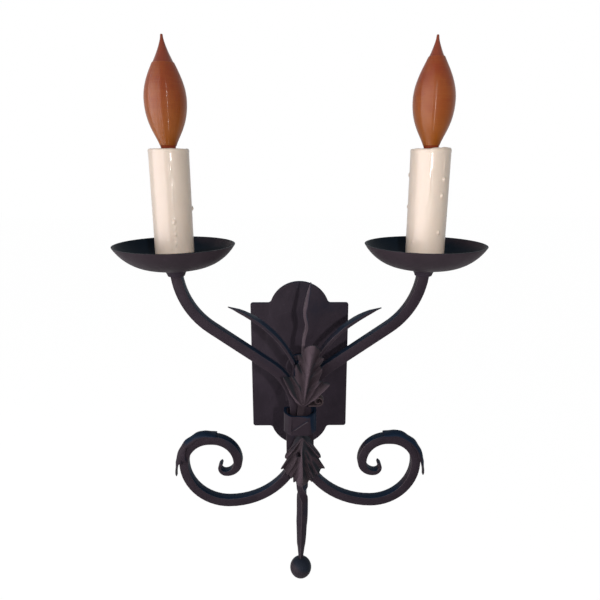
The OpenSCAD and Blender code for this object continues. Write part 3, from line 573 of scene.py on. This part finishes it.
# Swellings of each lip: angle from the sleeve's front, and size.
lips = {"left": [(20, 0.4), (110, 0.7), (200, 0.5), (300, 0.3)],
    "right": [(5, 1.1), (35, 1.6), (70, 1.3), (130, 0.9), (215, 1.0), (300, 0.5)]}
for side in ("left", "right"):
    low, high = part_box(side + "_candle")
    sleeve_tall = high[2] - low[2]
    tube = turned(side + "_candle_wax", [(bore_r, 0.0), (sleeve_r - 0.0001, 0.0),
        (sleeve_r, 0.0006), (sleeve_r, sleeve_tall - 0.0032),
        (sleeve_r + 0.0003, sleeve_tall - 0.0018), (sleeve_r, sleeve_tall - 0.0004),
        (0.0150, sleeve_tall), (0.0128, sleeve_tall - 0.0002),
        (bore_r + 0.0002, sleeve_tall - 0.0014), (bore_r, sleeve_tall - 0.004), (bore_r, 0.0)])
    runs = [blob((wide * 1.1, wide, tall), angle, sleeve_r + proud - wide * 0.5, height)
        for angle, height, wide, tall, proud in wax[side]]
    for angle, swell in lips[side]:
        thick = 0.0032 + swell * 0.0004
        runs.append(blob((0.013, thick, 0.003 + swell * 0.0008), angle, 0.0143,
            sleeve_tall - 0.0016 + swell * 0.0004))
    candle = melt([tube] + runs, side + "_candle_wax", 0.00055, 3)
    place_at(candle, (low[0] + high[0]) / 2, (low[1] + high[1]) / 2, low[2])
    fit(candle, side + "_candle", resin, side + "_candle_sleeve")

# Bulbs: blown glass flames on a screw base, wound with fine silk thread up to the bare tip.
glass, glass_shader, pen = finish("amber_glass", Coat_Weight=0.1, Coat_Roughness=0.2, IOR=1.45,
    Specular_IOR_Level=0.25)
place = pen.node("ShaderNodeTexCoord", out="Object")
streak = place.noise(90.0, 2.0)
plug(glass_shader, Base_Color=streak.blend((0.2, 0.034, 0.012, 1), (0.24, 0.045, 0.018, 1)),
    Roughness=streak * 0.1 + 0.2, Normal=streak.bump(0.0001, 0.2))
silk, silk_shader, pen = finish("silk_winding", Coat_Weight=0.27, Coat_Roughness=0.12,
    Specular_IOR_Level=0.1)
place = pen.node("ShaderNodeTexCoord", out="Object")
height = place.axis("Z").between(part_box("left_candle")[1][2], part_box("left_candle")[1][2] + 0.062)
warm = height.blend((0.25, 0.066, 0.003, 1), (0.22, 0.03, 0.004, 1))
strands = place.node("ShaderNodeMapping", {}, {"Vector": place, "Scale": (40, 40, 2600)})
fibre = strands.noise(1.0, 2.0)
tint = place.noise(70.0, 2.0).between(0.35, 0.7) * 0.3
pale = fibre.between(0.4, 0.8) * 0.3 + tint
plug(silk_shader, Base_Color=pale.blend(warm, (0.31, 0.095, 0.015, 1)),
    Roughness=fibre * 0.2 + 0.35, Normal=fibre.bump(0.00004, 0.4))

# The flame's half outline, as (radius, height above the sleeve) of three curves end to end.
flame_low = ((0.0056, -0.00395), (0.0052, 0.007), (0.0165, 0.0135), (0.0165, 0.036))
flame_high = ((0.0165, 0.036), (0.0165, 0.051), (0.0076, 0.0635), (0.0042, 0.0725))
flame_tip = ((0.0042, 0.0725), (0.0026, 0.0768), (0.0015, 0.0795), (0.0013, 0.0831))


def on_curve(p, t):
    """A point of a cubic curve."""
    return [p[0][k] * (1 - t) ** 3 + 3 * p[1][k] * t * (1 - t) ** 2 + 3 * p[2][k] * t * t * (1 - t)
        + p[3][k] * t ** 3 for k in (0, 1)]


flame_side = [on_curve(flame_low, k / 60) for k in range(60)]
flame_side += [on_curve(flame_high, k / 60) for k in range(60)]
flame_side += [on_curve(flame_tip, k / 20) for k in range(21)]


def flame_radius(z):
    """The flame's radius at a height, over the winding."""
    for (r0, z0), (r1, z1) in zip(flame_side, flame_side[1:]):
        if z0 <= z <= z1:
            return r0 + (r1 - r0) * (z - z0) / (z1 - z0)
    return flame_side[-1][0]


thread_pitch = 0.0006
thread_foot = 0.0022
thread_wave = (0.00012, 0.00006, 0.0, 0.00006)
winding_thick = 0.00034
glass_thick = 0.00035
for side, top in (("left", 0.0625), ("right", 0.0675)):
    low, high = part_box(side + "_candle")
    x, y, z = (low[0] + high[0]) / 2, (low[1] + high[1]) / 2, high[2]
    bare = [(r - glass_thick, h) for r, h in flame_side[::5]]
    hollow = [(r - 2 * glass_thick, h) for r, h in bare[::-1]]
    tip = [(0.0008, 0.0834), (0.0, 0.0836), (0.0, 0.0828), (0.0002, 0.0825)]
    flame = turned(side + "_flame_glass", bare + tip + hollow + [bare[0]], 64)
    place_at(flame, x, y, z)
    bpy.ops.object.shade_smooth()
    fit(flame, side + "_bulb_glass", glass, side + "_bulb")
    turns = round((top - thread_foot) / thread_pitch)
    threads = []
    for k in range(4 * turns):
        h = thread_foot + k * thread_pitch / 4
        threads.append((flame_radius(h) - thread_wave[k % 4], h))
    wall = [top + (thread_foot - top) * k / 24 for k in range(25)]
    wall = [(flame_radius(h) - winding_thick, h) for h in wall]
    winding = turned(side + "_winding", threads + wall + [threads[0]], 64)
    for vertex in winding.data.vertices:
        if math.hypot(vertex.co.x, vertex.co.y) > flame_radius(vertex.co.z) - 0.9 * winding_thick:
            around = math.atan2(vertex.co.y, vertex.co.x) / math.tau
            vertex.co.z += thread_pitch * (around % 1.0)
    place_at(winding, x, y, z)
    bpy.ops.object.shade_smooth()
    fit(winding, side + "_bulb_thread", silk, side + "_bulb")
    dress(side + "_bulb_stem", glass)
    dress(side + "_bulb_base", brass)
    dress(side + "_bulb_contact", insulator)
    dress(side + "_filament", zinc)
